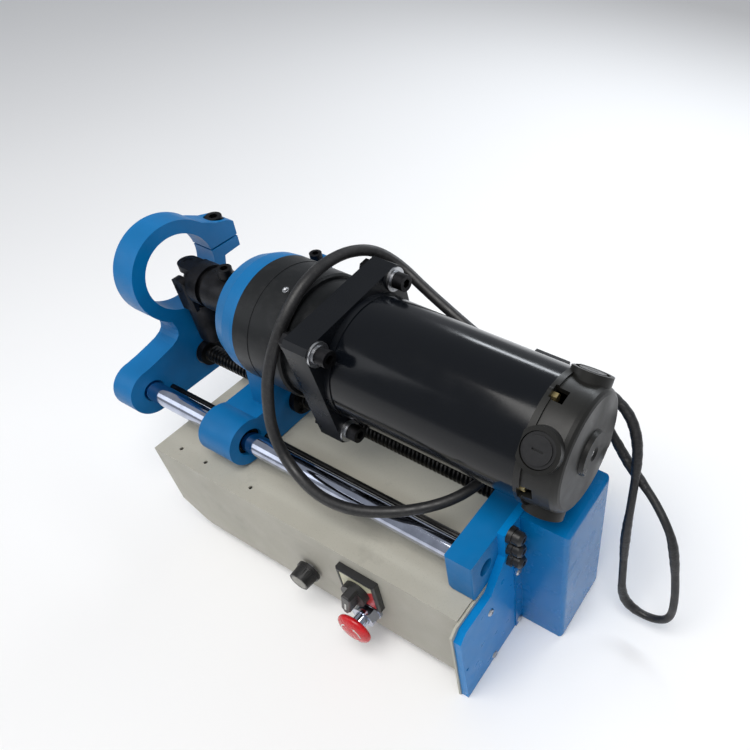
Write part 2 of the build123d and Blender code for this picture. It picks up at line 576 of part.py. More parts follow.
def end_bell():
    x0, x1 = TUBE_X1, BELL_X1
    prof = [(x0, 0), (x0, MOTOR_R + 0.8), (x0 + 6, MOTOR_R + 0.8), (x0 + 6, MOTOR_R - 1.6), (x1 - 7, BELL_R1 + 0.8)]
    prof += [(x1 - 3.5, BELL_R1 - 0.6), (x1 - 1, BELL_R1 - 2.6), (x1, BELL_R1 - 5), (x1, 21.5), (x1 + 4, 20), (x1 + 4, 0)]
    body = on_axis(prof)
    for i in range(4):
        boss = cyl_z(AXIS_Z + 40, AXIS_Z + MOTOR_R + 3.5, BRUSH_X, AXIS_Y, 19.5)
        boss &= block(x0, x1, AXIS_Y - 30, AXIS_Y + 30, AXIS_Z, AXIS_Z + 100)
        body += rolled(boss, ROLL + 45 + 90 * i)
    body -= on_axis([(x0 - 1, 0), (x0 - 1, MOTOR_R - 6), (x1 - 12, MOTOR_R - 9), (x1 - 12, 0)])
    body += on_axis([(x1 - 16, 17.5), (x1 - 16, 24), (x1 - 4, 24), (x1 - 4, 17.5)])
    body -= cyl_x(x1 - 17, x1 - 5, AXIS_Y, AXIS_Z, 17.5)
    body -= on_axis([(x1 + 5, 0), (x1 + 5, 7.5), (x1 + 1.5, 5), (x1 + 1.5, 0)])
    for i in range(4):
        body -= rolled(cyl_z(AXIS_Z + 20, AXIS_Z + MOTOR_R + 6, BRUSH_X, AXIS_Y, 12.2), ROLL + 45 + 90 * i)
        body -= rolled(cyl_z(AXIS_Z + MOTOR_R - 2, AXIS_Z + MOTOR_R + 6, BRUSH_X, AXIS_Y, 15.6), ROLL + 45 + 90 * i)
        body -= rolled(block(x0 + 3.5, x0 + 16, AXIS_Y - 7, AXIS_Y + 7, AXIS_Z + TIE_R - 7, AXIS_Z + 80), ROLL + 90 * i)
        lug = cyl_x(x0, x0 + 3.5, AXIS_Y, AXIS_Z + TIE_R, 9.0)
        body += rolled(lug & block(x0, x0 + 6, AXIS_Y - 9, AXIS_Y + 9, AXIS_Z + 50, AXIS_Z + 70), ROLL + 90 * i)
        body -= rolled(cyl_x(x0 - 1, x0 + 4, AXIS_Y, AXIS_Z + TIE_R, 2.5), ROLL + 90 * i)
    return body


def brush_caps():
    out = []
    for i in range(4):
        top = AXIS_Z + MOTOR_R + 3.5
        cap = cyl_z(AXIS_Z + 46, top, BRUSH_X, AXIS_Y, 12.2) + cyl_z(AXIS_Z + MOTOR_R - 2, top - 1.5, BRUSH_X, AXIS_Y, 15.0)
        cap -= block(BRUSH_X - 5, BRUSH_X + 5, AXIS_Y - 0.8, AXIS_Y + 0.8, top - 1.5, top + 1)
        cap -= block(BRUSH_X - 5.05, BRUSH_X + 5.05, AXIS_Y - 5.05, AXIS_Y + 5.05, AXIS_Z + 40, AXIS_Z + 54)
        out.append(rolled(cap, ROLL + 45 + 90 * i))
    return out


def brushes():
    out = []
    for i in range(4):
        bar = block(BRUSH_X - 5, BRUSH_X + 5, AXIS_Y - 5, AXIS_Y + 5, AXIS_Z + COMM_R + 0.35, AXIS_Z + 53)
        out.append(rolled(bar, ROLL + 45 + 90 * i))
    return out


COMM_R = 24.0


def tie_bolts():
    out = []
    for i in range(4):
        z = AXIS_Z + TIE_R
        bolt = cyl_x(SQUARE_X1 - 2, TUBE_X1 + 4, AXIS_Y, z, 2.5)
        bolt += hexagon_x(TUBE_X1 + 3.5, TUBE_X1 + 8.5, AXIS_Y, z, 8.5)
        out.append(rolled(bolt, ROLL + 90 * i))
    return out


def ball_bearings():
    def ring(x0, x1, ro, ri):
        return cyl_x(x0, x1, AXIS_Y, AXIS_Z, ro) - cyl_x(x0 - 1, x1 + 1, AXIS_Y, AXIS_Z, ri + RUN)
    nose = NOSE_X + 5
    out = [ring(nose, nose + 12, 22, 17.5), ring(GEAR_X - 2, GEAR_X + 10, 22, 17.5)]
    out += [ring(SQUARE_X + 8, SQUARE_X + 19, 17.5, 7.5), ring(BELL_X1 - 16, BELL_X1 - 5, 17.5, 7.5)]
    return out


# ------------------------------------------------------------------ rotor, spindle and joint
def armature():
    """Shaft with its sun pinion, and the laminated core with winding heads."""
    body = cyl_x(RINGGEAR_X + 8, BELL_X1 - 6, AXIS_Y, AXIS_Z, 7.5)
    body += cyl_x(RINGGEAR_X + 8, RINGGEAR_X + 25, AXIS_Y, AXIS_Z, SUN_R - GEAR_GAP)
    core0, core1 = TUBE_X + 20, TUBE_X1 - 36
    body += cyl_x(core0, core1, AXIS_Y, AXIS_Z, 38.5)
    body += cyl_x(core0 - 12, core0, AXIS_Y, AXIS_Z, 33) + cyl_x(core1, core1 + 14, AXIS_Y, AXIS_Z, 33)
    for i in range(12):
        slot = block(core0 - 1, core1 + 1, AXIS_Y - 1.2, AXIS_Y + 1.2, AXIS_Z + 35, AXIS_Z + 40)
        body -= rolled(slot, 30 * i)
    return body


def commutator():
    body = cyl_x(BRUSH_X - 15, BRUSH_X + 5, AXIS_Y, AXIS_Z, COMM_R) - cyl_x(BRUSH_X - 17, BRUSH_X + 9, AXIS_Y, AXIS_Z, 7.5)
    return body


def planet_spot(i):
    a = radians(90 + 120 * i)
    d = SUN_R + PLANET_R
    return AXIS_Y + d * cos(a), AXIS_Z + d * sin(a)


def planet(i):
    y, z = planet_spot(i)
    body = cyl_x(RINGGEAR_X + 9, RINGGEAR_X + 24, y, z, PLANET_R - GEAR_GAP)
    return body - cyl_x(RINGGEAR_X + 8, RINGGEAR_X + 25, y, z, 4.0 + RUN)


def spindle():
    """Output shaft with the planet carrier and its three pins."""
    body = cyl_x(SPINDLE_X, RINGGEAR_X + 2, AXIS_Y, AXIS_Z, 17.5)
    body += cyl_x(RINGGEAR_X + 1, RINGGEAR_X + 7.5, AXIS_Y, AXIS_Z, RINGGEAR_R - 3)
    for i in range(3):
        y, z = planet_spot(i)
        body += cyl_x(RINGGEAR_X + 7, RINGGEAR_X + 26, y, z, 4.0)
    return body


YOKE_R = 23.5           # sleeve and head of the driving yoke
YOKE_X = -6.0           # front face of the head
SPINDLE_X = 24.0
EAR_R = 11.0
EAR_T = 8.0
EAR_OFF = 13.0          # inner face of each ear from the joint centre
PIN_R = 5.0


def ears(direction):
    """Two ears at +-local Z with a pin hole, reaching from the local origin along direction (+1 or -1 in x)."""
    out = None
    for s in (1, -1):
        z0, z1 = sorted((s * EAR_OFF, s * (EAR_OFF + EAR_T)))
        ear = cyl_z(z0, z1, 0, 0, EAR_R)
        ear += block(min(0, direction * 30), max(0, direction * 30), -EAR_R, EAR_R, z0, z1)
        ear -= cyl_z(z0 - 1, z1 + 1, 0, 0, PIN_R + RUN)
        out = ear if out is None else out + ear
    return out


def uj_drive_yoke():
    hub = cyl_x(YOKE_X + 22, 74, AXIS_Y, AXIS_Z, YOKE_R)
    neck = cyl_x(YOKE_X + 15, YOKE_X + 22, AXIS_Y, AXIS_Z, YOKE_R - 3)
    head = cyl_x(YOKE_X, YOKE_X + 15, AXIS_Y, AXIS_Z, YOKE_R)
    fork = Pos(CROSS_X, AXIS_Y, AXIS_Z) * ears(1)
    body = hub + neck + head + (fork & cyl_x(CROSS_X - 20, YOKE_X + 10, AXIS_Y, AXIS_Z, YOKE_R))
    body -= cyl_x(SPINDLE_X, 75, AXIS_Y, AXIS_Z, 17.5)
    body -= cyl_z(AXIS_Z, AXIS_Z + 40, YOKE_SCREW_X, AXIS_Y, 5.0)
    return body


YOKE_SCREW_X = 38.0


def yoke_screw():
    return cap_screw_z(YOKE_SCREW_X, AXIS_Y, AXIS_Z + YOKE_R + 0.5, 5.0, 7.5, 10.0, YOKE_R - 17)


def uj_cross():
    """Spider: centre boss and four trunnions, one pair in each yoke."""
    body = Sphere(11.0)
    length = EAR_OFF + EAR_T - 0.5
    body += cyl_z(-length, length, 0, 0, PIN_R) + cyl_y(-length, length, 0, 0, PIN_R)
    return Pos(CROSS_X, AXIS_Y, AXIS_Z) * body


def uj_driven_yoke():
    """Free yoke hanging from the cross; its bore takes the boring bar."""
    hub = cyl_x(-HUB_END, -HUB_TOP, 0, 0, HUB_R)
    hub = chamfer(hub.edges().group_by(Axis.X)[0], 2)
    fork = Rot(90, 0, 0) * ears(-1)
    fork &= cyl_x(-HUB_TOP - 3, 40, 0, 0, EAR_OFF + EAR_T + 1)
    body = hub + fork
    body -= cyl_x(-HUB_END - 1, -HUB_END + BAR_DEPTH, 0, 0, BAR_R)
    body -= cyl_z(0, 40, -HUB_END + 15, 0, 4.0)
    return Pos(CROSS_X, AXIS_Y, AXIS_Z) * Rot(0, -90, 0) * body


BAR_R = 12.5            # socket for the boring bar
BAR_DEPTH = 38.0
HUB_R = 18.4
HUB_TOP = 26.0
HUB_END = 77.0


# ------------------------------------------------------------------ lead screw and its drive
def lead_screw():
    """Trapezoidal screw drawn as rings of the right pitch between plain journals."""
    x0, x1 = BRK_X1 + 8, REAR - BLOCK_X - 2
    prof = [(BRK_X0 + 6, 0), (BRK_X0 + 6, SCREW_CORE_R), (x0, SCREW_CORE_R)]
    n = int((x1 - x0) / SCREW_PITCH)
    p = SCREW_PITCH
    for i in range(n):
        a = x0 + i * p
        prof += [(a + 0.25 * p, SCREW_R), (a + 0.6 * p, SCREW_R), (a + 0.85 * p, SCREW_CORE_R)]
        prof += [(a + p, SCREW_CORE_R)]
    prof += [(REAR + 36, SCREW_CORE_R), (REAR + 36, 0)]
    return turned(prof, SCREW_Y, SCREW_Z)


def screw_collar():
    body = cyl_x(BRK_X1 + GAP, BRK_X1 + 8, SCREW_Y, SCREW_Z, 15.5)
    return body - cyl_x(BRK_X1, BRK_X1 + 9, SCREW_Y, SCREW_Z, SCREW_CORE_R)


def toothed(x0, x1, y, z, r, teeth, bore):
    body = cyl_x(x0, x1, y, z, r) - cyl_x(x0 - 1, x1 + 1, y, z, bore)
    for i in range(teeth):
        a = 2 * pi * i / teeth
        body -= cyl_x(x0 - 1, x1 + 1, y + r * cos(a), z + r * sin(a), 0.28 * 2 * pi * r / teeth)
    return body


PULLEY_R = 22.0
DRIVE_R = 13.0


def feed_pulley():
    x = REAR + PLATE_T + 8
    body = toothed(x, x + 14, SCREW_Y, SCREW_Z, PULLEY_R, 28, SCREW_CORE_R)
    return body + (cyl_x(x + 14, x + 16, SCREW_Y, SCREW_Z, PULLEY_R + 3) - cyl_x(x, x + 17, SCREW_Y, SCREW_Z, SCREW_CORE_R))


def drive_pulley():
    x = REAR + PLATE_T + 8
    y, z = SCREW_Y, SCREW_Z - PULLEY_DROP
    body = toothed(x, x + 14, y, z, DRIVE_R, 16, 4.0) + cyl_x(x + 14, x + 16, y, z, DRIVE_R + 3)
    return body + cyl_x(REAR - 18, x + 15, y, z, 5.0)


def timing_belt():
    x = REAR + PLATE_T + 8.5
    z1, z0 = SCREW_Z, SCREW_Z - PULLEY_DROP

    def loop(extra):
        ra, rb = PULLEY_R + extra, DRIVE_R + extra
        lean = (ra - rb) / PULLEY_DROP
        c, s = sqrt(1 - lean * lean), lean
        pts = [(SCREW_Y - ra * c, z1 - ra * s), (SCREW_Y - rb * c, z0 - rb * s)]
        pts += [(SCREW_Y + rb * c, z0 - rb * s), (SCREW_Y + ra * c, z1 - ra * s)]
        band = prism_x(pts, x, x + 13)
        return band + cyl_x(x, x + 13, SCREW_Y, z1, ra) + cyl_x(x, x + 13, SCREW_Y, z0, rb)
    return loop(GAP + 1.8) - Pos(0, 0, 0) * loop(GAP)


# ------------------------------------------------------------------ cables
CORD_R = 5.5
THIN_CORD_R = 4.25
JUNCTION_X0 = TUBE_X1 - 60
JUNCTION_X1 = TUBE_X1 - 24


def motor_junction_box():
    """Small junction box on the far side of the motor, where its cables start."""
    y = AXIS_Y + MOTOR_R
    body = block(JUNCTION_X0, JUNCTION_X1, y - 9, y + 18, 112, 148)
    body = chamfer(body.edges().group_by(Axis.Y)[-1], 1.5)
    return body - cyl_x(TUBE_X, TUBE_X1, AXIS_Y, AXIS_Z, MOTOR_R)


LOOP = [
    (JUNCTION_X0, 199, 131), (333, 199, 131), (299, 200, 141), (261, 204, 156), (229, 207, 170), (202, 208, 187),
    (184, 196, 205), (173, 172, 213), (170, 142, 215), (171, 112, 210), (171, 86, 194), (167, 67, 168),
    (163, 54, 140), (163, 45, 112), (166, 38, 86), (179, 32, 63), (202, 26, 50), (232, 20, 47), (268, 23, 48),
    (302, 39, 50), (328, 60, 51), (346, 82, 53), (356, 106, 56), (358, 127, 57.5),
    (GLAND_X + 1, GLAND_Y - 26, 57), (GLAND_X, GLAND_Y - 10, 47), (GLAND_X, GLAND_Y, 29.5),
    (GLAND_X, GLAND_Y, GLAND_TOP),
]
REARLOOP = [
    (JUNCTION_X1, 203, 136), (410, 203, 136), (430, 209, 131), (448, 210, 119), (463, 206, 107), (475, 196, 88),
    (481, 184, 62), (485, 172, 34), (488, 161, -6), (494, 153, -50), (498, 150, -95), (514, 150, -112),
    (538, 150, -112), (555, 150, -95), (553, 153, -57), (545, 158, -19), (535, 165, 12), (524, 171, 27),
    (504, 183, 39), (485, 190, 50), (467, 196, 61), (450, 202, 76), (437, 205, 92), (424, 203, 108),
    (410, 201, 118), (JUNCTION_X1, 201, 121),
]


def cord_radii(pts):
    out = []
    for a, b, c in zip(pts, pts[1:], pts[2:]):
        u = Vector(*b) - Vector(*a)
        v = Vector(*c) - Vector(*b)
        turn = radians(u.get_angle(v))
        out.append(0.45 * min(u.length, v.length) / tan(turn / 2))
    return out


def cord(name, pts, r):
    radii = cord_radii(pts)
    path = FilletPolyline(*[Vector(*p) for p in pts], radius=radii)
    section = Plane(origin=path @ 0, z_dir=path % 0) * Circle(r)
    tube = sweep(section, path=path)
    ratio = tube.volume / (pi * r ** 2 * path.length)
    print(name, "length", round(path.length, 1), "least radius", round(min(radii), 1), "volume ratio", round(ratio, 4))
    print("  radii", [round(r) for r in radii])
    return tube


# ------------------------------------------------------------------ writing
NODES = {
    "base_shell": base_shell, "base_bottom_cover": base_bottom_cover, "base_end_flange": base_end_flange,
    "rear_plate": rear_plate, "rod_block": rod_block, "front_bracket": front_bracket,
    "bracket_clamp_screw": bracket_clamp_screw, "guide_rods": guide_rods, "stop_rod": stop_rod,
    "plate_screws": plate_screws, "feed_box_cover": feed_box_cover, "cable_glands": cable_glands,
    "base_gland": base_gland, "control_board": control_board, "speed_pot": speed_pot,
    "selector_switch": selector_switch, "selector_handle": selector_handle, "estop_collar": estop_collar,
    "estop_contact_block": estop_contact_block, "estop_button": estop_button, "speed_knob": speed_knob,
    "feed_motor": feed_motor, "screw_bearings": screw_bearings, "carriage_casting": carriage_casting,
    "carriage_bushes": carriage_bushes, "lead_nut": lead_nut, "carriage_clamp_screw": carriage_clamp_screw,
    "gearbox_nose": gearbox_nose, "gearbox_spacer_ring": gearbox_spacer_ring,
    "ring_gear_housing": ring_gear_housing, "motor_adapter": motor_adapter, "square_flange": square_flange,
    "flange_screws": flange_screws, "flange_washers": flange_washers, "grease_nipple": grease_nipple,
    "motor_tube": motor_tube, "motor_magnets": motor_magnets, "end_bell": end_bell, "brush_caps": brush_caps,
    "brushes": brushes, "tie_bolts": tie_bolts, "ball_bearings": ball_bearings, "motor_junction_box": motor_junction_box,
    "armature": armature, "commutator": commutator, "spindle": spindle, "uj_drive_yoke": uj_drive_yoke,
    "yoke_screw": yoke_screw, "uj_cross": uj_cross, "uj_driven_yoke": uj_driven_yoke, "lead_screw": lead_screw, "screw_collar": screw_collar,
    "feed_pulley": feed_pulley, "drive_pulley": drive_pulley, "timing_belt": timing_belt,
}


def write(name, shape):
    solids = []
    for piece in (shape if isinstance(shape, list) else [shape]):
        solids += list(piece.solids())
    moved = [Pos(-ORIGIN.X, -ORIGIN.Y, -ORIGIN.Z) * s for s in solids]
    export_step(Compound(children=moved), f"parts/{name}.step")


def main():
    os.makedirs("parts", exist_ok=True)
    for name, make in NODES.items():
        write(name, make())
    for i in range(3):
        write(f"planet_gear_{i + 1}", planet(i))
    write("cable_motor_loop", cord("cable_motor_loop", LOOP, CORD_R))
    write("cable_rear_loop", cord("cable_rear_loop", REARLOOP, THIN_CORD_R))
    print("origin", ORIGIN)


if __name__ == "__main__":
    main()
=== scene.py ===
"""Looks of the portable line boring drive unit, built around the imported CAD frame."""
from math import cos, pi, radians, sin, tau

import bpy
import bmesh
from mathutils import Matrix, Vector


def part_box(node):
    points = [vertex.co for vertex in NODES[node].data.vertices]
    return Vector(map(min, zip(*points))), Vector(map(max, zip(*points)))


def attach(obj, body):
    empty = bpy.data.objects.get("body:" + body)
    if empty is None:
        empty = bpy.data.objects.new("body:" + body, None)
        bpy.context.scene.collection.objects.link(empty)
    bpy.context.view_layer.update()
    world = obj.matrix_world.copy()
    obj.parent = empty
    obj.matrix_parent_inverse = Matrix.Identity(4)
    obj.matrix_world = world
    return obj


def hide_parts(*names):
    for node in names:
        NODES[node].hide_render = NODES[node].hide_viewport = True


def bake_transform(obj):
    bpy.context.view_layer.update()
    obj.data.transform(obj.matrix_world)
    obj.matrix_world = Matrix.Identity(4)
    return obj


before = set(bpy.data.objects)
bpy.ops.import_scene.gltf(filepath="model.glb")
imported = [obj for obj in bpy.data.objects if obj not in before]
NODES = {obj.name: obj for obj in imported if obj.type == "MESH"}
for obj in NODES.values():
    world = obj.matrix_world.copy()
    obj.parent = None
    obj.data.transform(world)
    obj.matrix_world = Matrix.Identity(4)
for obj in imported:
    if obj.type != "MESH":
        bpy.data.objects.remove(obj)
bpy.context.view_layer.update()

# The CAD's own numbers are measured from the base box's front, control-side, top edge, in millimetres.
ORIGIN = Vector((195.0, 119.75, -134.0))
AXIS_Y, AXIS_Z = 129.9, 136.1
SCREW_Y, SCREW_Z = 121.5, 29.5


def at(x, y, z):
    """A point given in the CAD's millimetres, in the row frame, in metres."""
    return (Vector((x, y, z)) - ORIGIN) / 1000


# ------------------------------------------------------------------ camera
VIEW_AZIMUTH, VIEW_ELEVATION, VIEW_ROLL = radians(29.1), radians(45.8), radians(1.2)
VIEW_FROM = (605.7, -223.2, 592.4)
SENSOR_MM, LENS_MM = 36.0, 33.91
VIEW_SHIFT = (-0.2248, 0.0316)
NEAR_M, FAR_M = 0.02, 30


def make_camera():
    azimuth, elevation, roll = VIEW_AZIMUTH, VIEW_ELEVATION, VIEW_ROLL
    back = Vector((sin(azimuth) * cos(elevation), -cos(azimuth) * cos(elevation), sin(elevation)))
    right = Vector((cos(azimuth), sin(azimuth), 0))
    up = back.cross(right)
    right, up = right * cos(roll) + up * sin(roll), up * cos(roll) - right * sin(roll)
    data = bpy.data.cameras.new("camera")
    data.sensor_width = SENSOR_MM
    data.lens = LENS_MM
    data.shift_x, data.shift_y = VIEW_SHIFT
    data.clip_start, data.clip_end = NEAR_M, FAR_M
    camera = bpy.data.objects.new("camera", data)
    bpy.context.scene.collection.objects.link(camera)
    turn = Matrix((right, up, back)).transposed().to_4x4()
    camera.matrix_world = Matrix.Translation(at(*VIEW_FROM)) @ turn
    bpy.context.scene.camera = camera


make_camera()


# ------------------------------------------------------------------ node materials
class Shader:
    """Small helper that builds one node material with a Principled shader."""

    def __init__(self, name, color=None, rough=0.5, metal=0.0, coat=0.0, coat_rough=0.1, specular=0.5):
        self.material = bpy.data.materials.new(name)
        self.material.use_nodes = True
        self.tree = self.material.node_tree
        self.tree.nodes.clear()
        self.out = self.tree.nodes.new("ShaderNodeOutputMaterial")
        self.bsdf = self.tree.nodes.new("ShaderNodeBsdfPrincipled")
        self.tree.links.new(self.bsdf.outputs[0], self.out.inputs[0])
        self.set("Roughness", rough)
        self.set("Metallic", metal)
        self.set("Coat Weight", coat)
        self.set("Coat Roughness", coat_rough)
        self.set("Specular IOR Level", specular)
        if color:
            self.set("Base Color", (*color, 1))
        self.space = self.node("ShaderNodeTexCoord").outputs["Object"]

    def node(self, kind, **inputs):
        made = self.tree.nodes.new(kind)
        for key, value in inputs.items():
            self.put(made.inputs[key.replace("_", " ")], value)
        return made

    def put(self, socket, value):
        if isinstance(value, bpy.types.NodeSocket):
            self.tree.links.new(value, socket)
        else:
            socket.default_value = value

    def set(self, name, value):
        self.put(self.bsdf.inputs[name], value)

    def mapped(self, scale):
        made = self.node("ShaderNodeMapping", Vector=self.space)
        made.inputs["Scale"].default_value = scale
        return made.outputs[0]

    def noise(self, scale, detail=4.0, rough=0.5, vector=None):
        made = self.node("ShaderNodeTexNoise", Scale=scale, Detail=detail, Roughness=rough,
                         Vector=vector or self.space)
        return made.outputs["Fac"]

    def ramp(self, value, low, high, dark=0.0, light=1.0):
        made = self.node("ShaderNodeMapRange")
        self.put(made.inputs["Value"], value)
        for index, number in enumerate((low, high, dark, light)):
            made.inputs[index + 1].default_value = number
        return made.outputs[0]

    def mix(self, factor, a, b, mode="MIX"):
        made = self.tree.nodes.new("ShaderNodeMix")
        made.data_type = "RGBA"
        made.blend_type = mode
        self.put(made.inputs[0], factor)
        for index, value in ((6, a), (7, b)):
            self.put(made.inputs[index], value if isinstance(value, bpy.types.NodeSocket) else (*value, 1))
        return made.outputs[2]

    def math(self, kind, a, b=0.0):
        made = self.tree.nodes.new("ShaderNodeMath")
        made.operation = kind
        self.put(made.inputs[0], a)
        self.put(made.inputs[1], b)
        return made.outputs[0]

    def axis(self, letter):
        made = self.node("ShaderNodeSeparateXYZ")
        self.put(made.inputs[0], self.space)
        return made.outputs["XYZ".index(letter)]

    def bump(self, height, strength, distance=0.0005):
        made = self.node("ShaderNodeBump", Height=height, Strength=strength, Distance=distance)
        normal = self.bsdf.inputs["Normal"]
        if normal.links:
            self.put(made.inputs["Normal"], normal.links[0].from_socket)
        self.put(normal, made.outputs[0])
        return self


def enamel(name, color, rough, peel=0.12, scuffs=0.5, coat=0.0, specular=0.3, cloudy=0.78):
    """Brushed or sprayed enamel: faint clouding, orange peel and small scuffs."""
    s = Shader(name, rough=rough, coat=coat, coat_rough=0.12, specular=specular)
    cloud = s.ramp(s.noise(14.0, 3.0), 0.35, 0.7)
    deep = tuple(c * cloudy for c in color)
    body = s.mix(cloud, color, deep)
    marks = s.ramp(s.noise(240.0, 6.0, 0.7), 0.66, 0.74, 0.0, scuffs)
    light = tuple(min(1.0, c * 0.8 + 0.10) for c in color)
    body = s.mix(marks, body, light)
    s.set("Base Color", body)
    s.set("Roughness", s.ramp(s.noise(60.0, 5.0), 0.3, 0.75, rough * 0.85, min(1.0, rough * 1.3)))
    s.bump(s.noise(900.0, 2.0), peel, 0.0004)
    s.bump(s.noise(35.0, 2.0), peel * 0.5, 0.0008)
    return s.material


def powder(name, color, grain=0.35):
    """Powder coated sheet: fine leathery grain, a few handling marks."""
    s = Shader(name, rough=0.55)
    cloud = s.ramp(s.noise(7.0, 4.0), 0.3, 0.72)
    body = s.mix(cloud, color, tuple(c * 0.86 for c in color))
    speck = s.ramp(s.noise(700.0, 2.0), 0.6, 0.72, 0.0, 0.35)
    body = s.mix(speck, body, tuple(c * 0.6 for c in color))
    smear = s.ramp(s.noise(30.0, 8.0, 0.7, s.mapped((0.3, 1.0, 2.4))), 0.62, 0.75, 0.0, 0.3)
    body = s.mix(smear, body, tuple(min(1.0, c * 1.25) for c in color))
    stain = s.ramp(s.noise(17.0, 9.0, 0.72), 0.57, 0.72, 0.0, 0.42)
    body = s.mix(stain, body, tuple(c * 0.55 for c in color))
    s.set("Base Color", body)
    s.set("Roughness", s.ramp(s.noise(40.0, 5.0), 0.3, 0.7, 0.45, 0.68))
    s.bump(s.noise(1300.0, 2.0), grain, 0.0003)
    return s.material


def black_gloss(name, color=(0.003, 0.004, 0.006), rough=0.24, dust=0.16):
    """Black machine paint with dust and long faint wipe marks."""
    s = Shader(name, rough=rough, specular=0.28)
    specks = s.ramp(s.noise(420.0, 7.0, 0.75), 0.60, 0.78, 0.0, dust)
    film = s.ramp(s.noise(9.0, 6.0, 0.6, s.mapped((0.25, 1.0, 1.0))), 0.45, 0.8, 0.0, dust * 0.4)
    body = s.mix(film, color, (0.028, 0.028, 0.030))
    body = s.mix(specks, body, (0.055, 0.055, 0.058))
    s.set("Base Color", body)
    s.set("Roughness", s.ramp(s.noise(24.0, 6.0), 0.3, 0.75, rough * 0.8, rough * 1.7))
    s.bump(s.noise(520.0, 2.0), 0.05, 0.0003)
    return s.material


def turned_black(name, rough=0.36):
    """Black painted turned housing: faint tool rings about the boring axis."""
    s = Shader(name, rough=rough, specular=0.3)
    wave = s.math("SINE", s.math("MULTIPLY", s.axis("X"), 9000.0))
    dust = s.ramp(s.noise(60.0, 6.0, 0.7), 0.5, 0.8, 0.0, 0.5)
    body = s.mix(dust, (0.006, 0.007, 0.008), (0.030, 0.030, 0.032))
    s.set("Base Color", body)
    s.set("Roughness", s.ramp(s.noise(18.0, 5.0), 0.3, 0.7, rough * 0.85, rough * 1.35))
    s.bump(wave, 0.06, 0.00015)
    s.bump(s.noise(420.0, 3.0), 0.10, 0.0003)
    return s.material


def metal(name, color, rough, grain=(1.0, 1.0, 1.0), scratch=0.12, tint=None):
    """Machined or plated metal with fine directional scratches."""
    s = Shader(name, rough=rough, metal=1.0)
    lines = s.noise(900.0, 3.0, 0.6, s.mapped(grain))
    patch = s.ramp(s.noise(70.0, 5.0), 0.35, 0.75)
    s.set("Base Color", s.mix(patch, color, tint or tuple(c * 0.72 for c in color)))
    s.set("Roughness", s.ramp(lines, 0.25, 0.75, rough * 0.7, min(1.0, rough * 1.5)))
    s.bump(lines, scratch, 0.0001)
    return s.material


def plastic(name, color, rough, grain=0.25):
    """Moulded plastic: spark-eroded grain and slight clouding."""
    s = Shader(name, rough=rough)
    cloud = s.ramp(s.noise(120.0, 4.0), 0.35, 0.7)
    s.set("Base Color", s.mix(cloud, color, tuple(c * 0.8 + 0.002 for c in color)))
    s.set("Roughness", s.ramp(s.noise(260.0, 4.0), 0.3, 0.7, rough * 0.85, min(1.0, rough * 1.2)))
    s.bump(s.noise(1800.0, 2.0), grain, 0.0002)
    return s.material


def sheath(name, color, rough=0.42):
    """Rubber cable sheath: soft ripples from being bent, dust in the grain."""
    s = Shader(name, rough=rough)
    dust = s.ramp(s.noise(300.0, 8.0, 0.75), 0.5, 0.8, 0.0, 0.5)
    s.set("Base Color", s.mix(dust, color, (0.075, 0.073, 0.07)))
    s.set("Roughness", s.ramp(s.noise(90.0, 5.0), 0.3, 0.7, rough * 0.8, rough * 1.4))
    s.bump(s.noise(150.0, 3.0), 0.25, 0.0006)
    s.bump(s.noise(1500.0, 2.0), 0.12, 0.0002)
    return s.material


def wrapped(name):
    """Black insulating tape: overlapping turns with wrinkles."""
    s = Shader(name, rough=0.38)
    wrinkle = s.noise(260.0, 6.0, 0.6, s.mapped((1.0, 1.0, 2.2)))
    s.set("Base Color", s.mix(s.ramp(wrinkle, 0.4, 0.8), (0.008, 0.008, 0.009), (0.03, 0.03, 0.032)))
    s.bump(wrinkle, 0.8, 0.0009)
    return s.material


def selector_face(name, centre):
    """Printed dial of the selector: a pale field, and a red one at its lower corner towards the motor."""
    s = Shader(name, rough=0.4)
    x = s.math("SUBTRACT", s.axis("X"), centre.x)
    z = s.math("SUBTRACT", s.axis("Z"), centre.z)
    slant = s.math("SUBTRACT", x, s.math("MULTIPLY", z, 1.1))
    red = s.ramp(slant, 0.0062, 0.0066)
    cloud = s.ramp(s.noise(150.0, 4.0), 0.3, 0.7)
    pale = s.mix(cloud, (0.62, 0.60, 0.42), (0.50, 0.49, 0.36))
    s.set("Base Color", s.mix(red, pale, (0.55, 0.03, 0.03)))
    s.bump(s.noise(900.0, 2.0), 0.1, 0.0002)
    return s.material


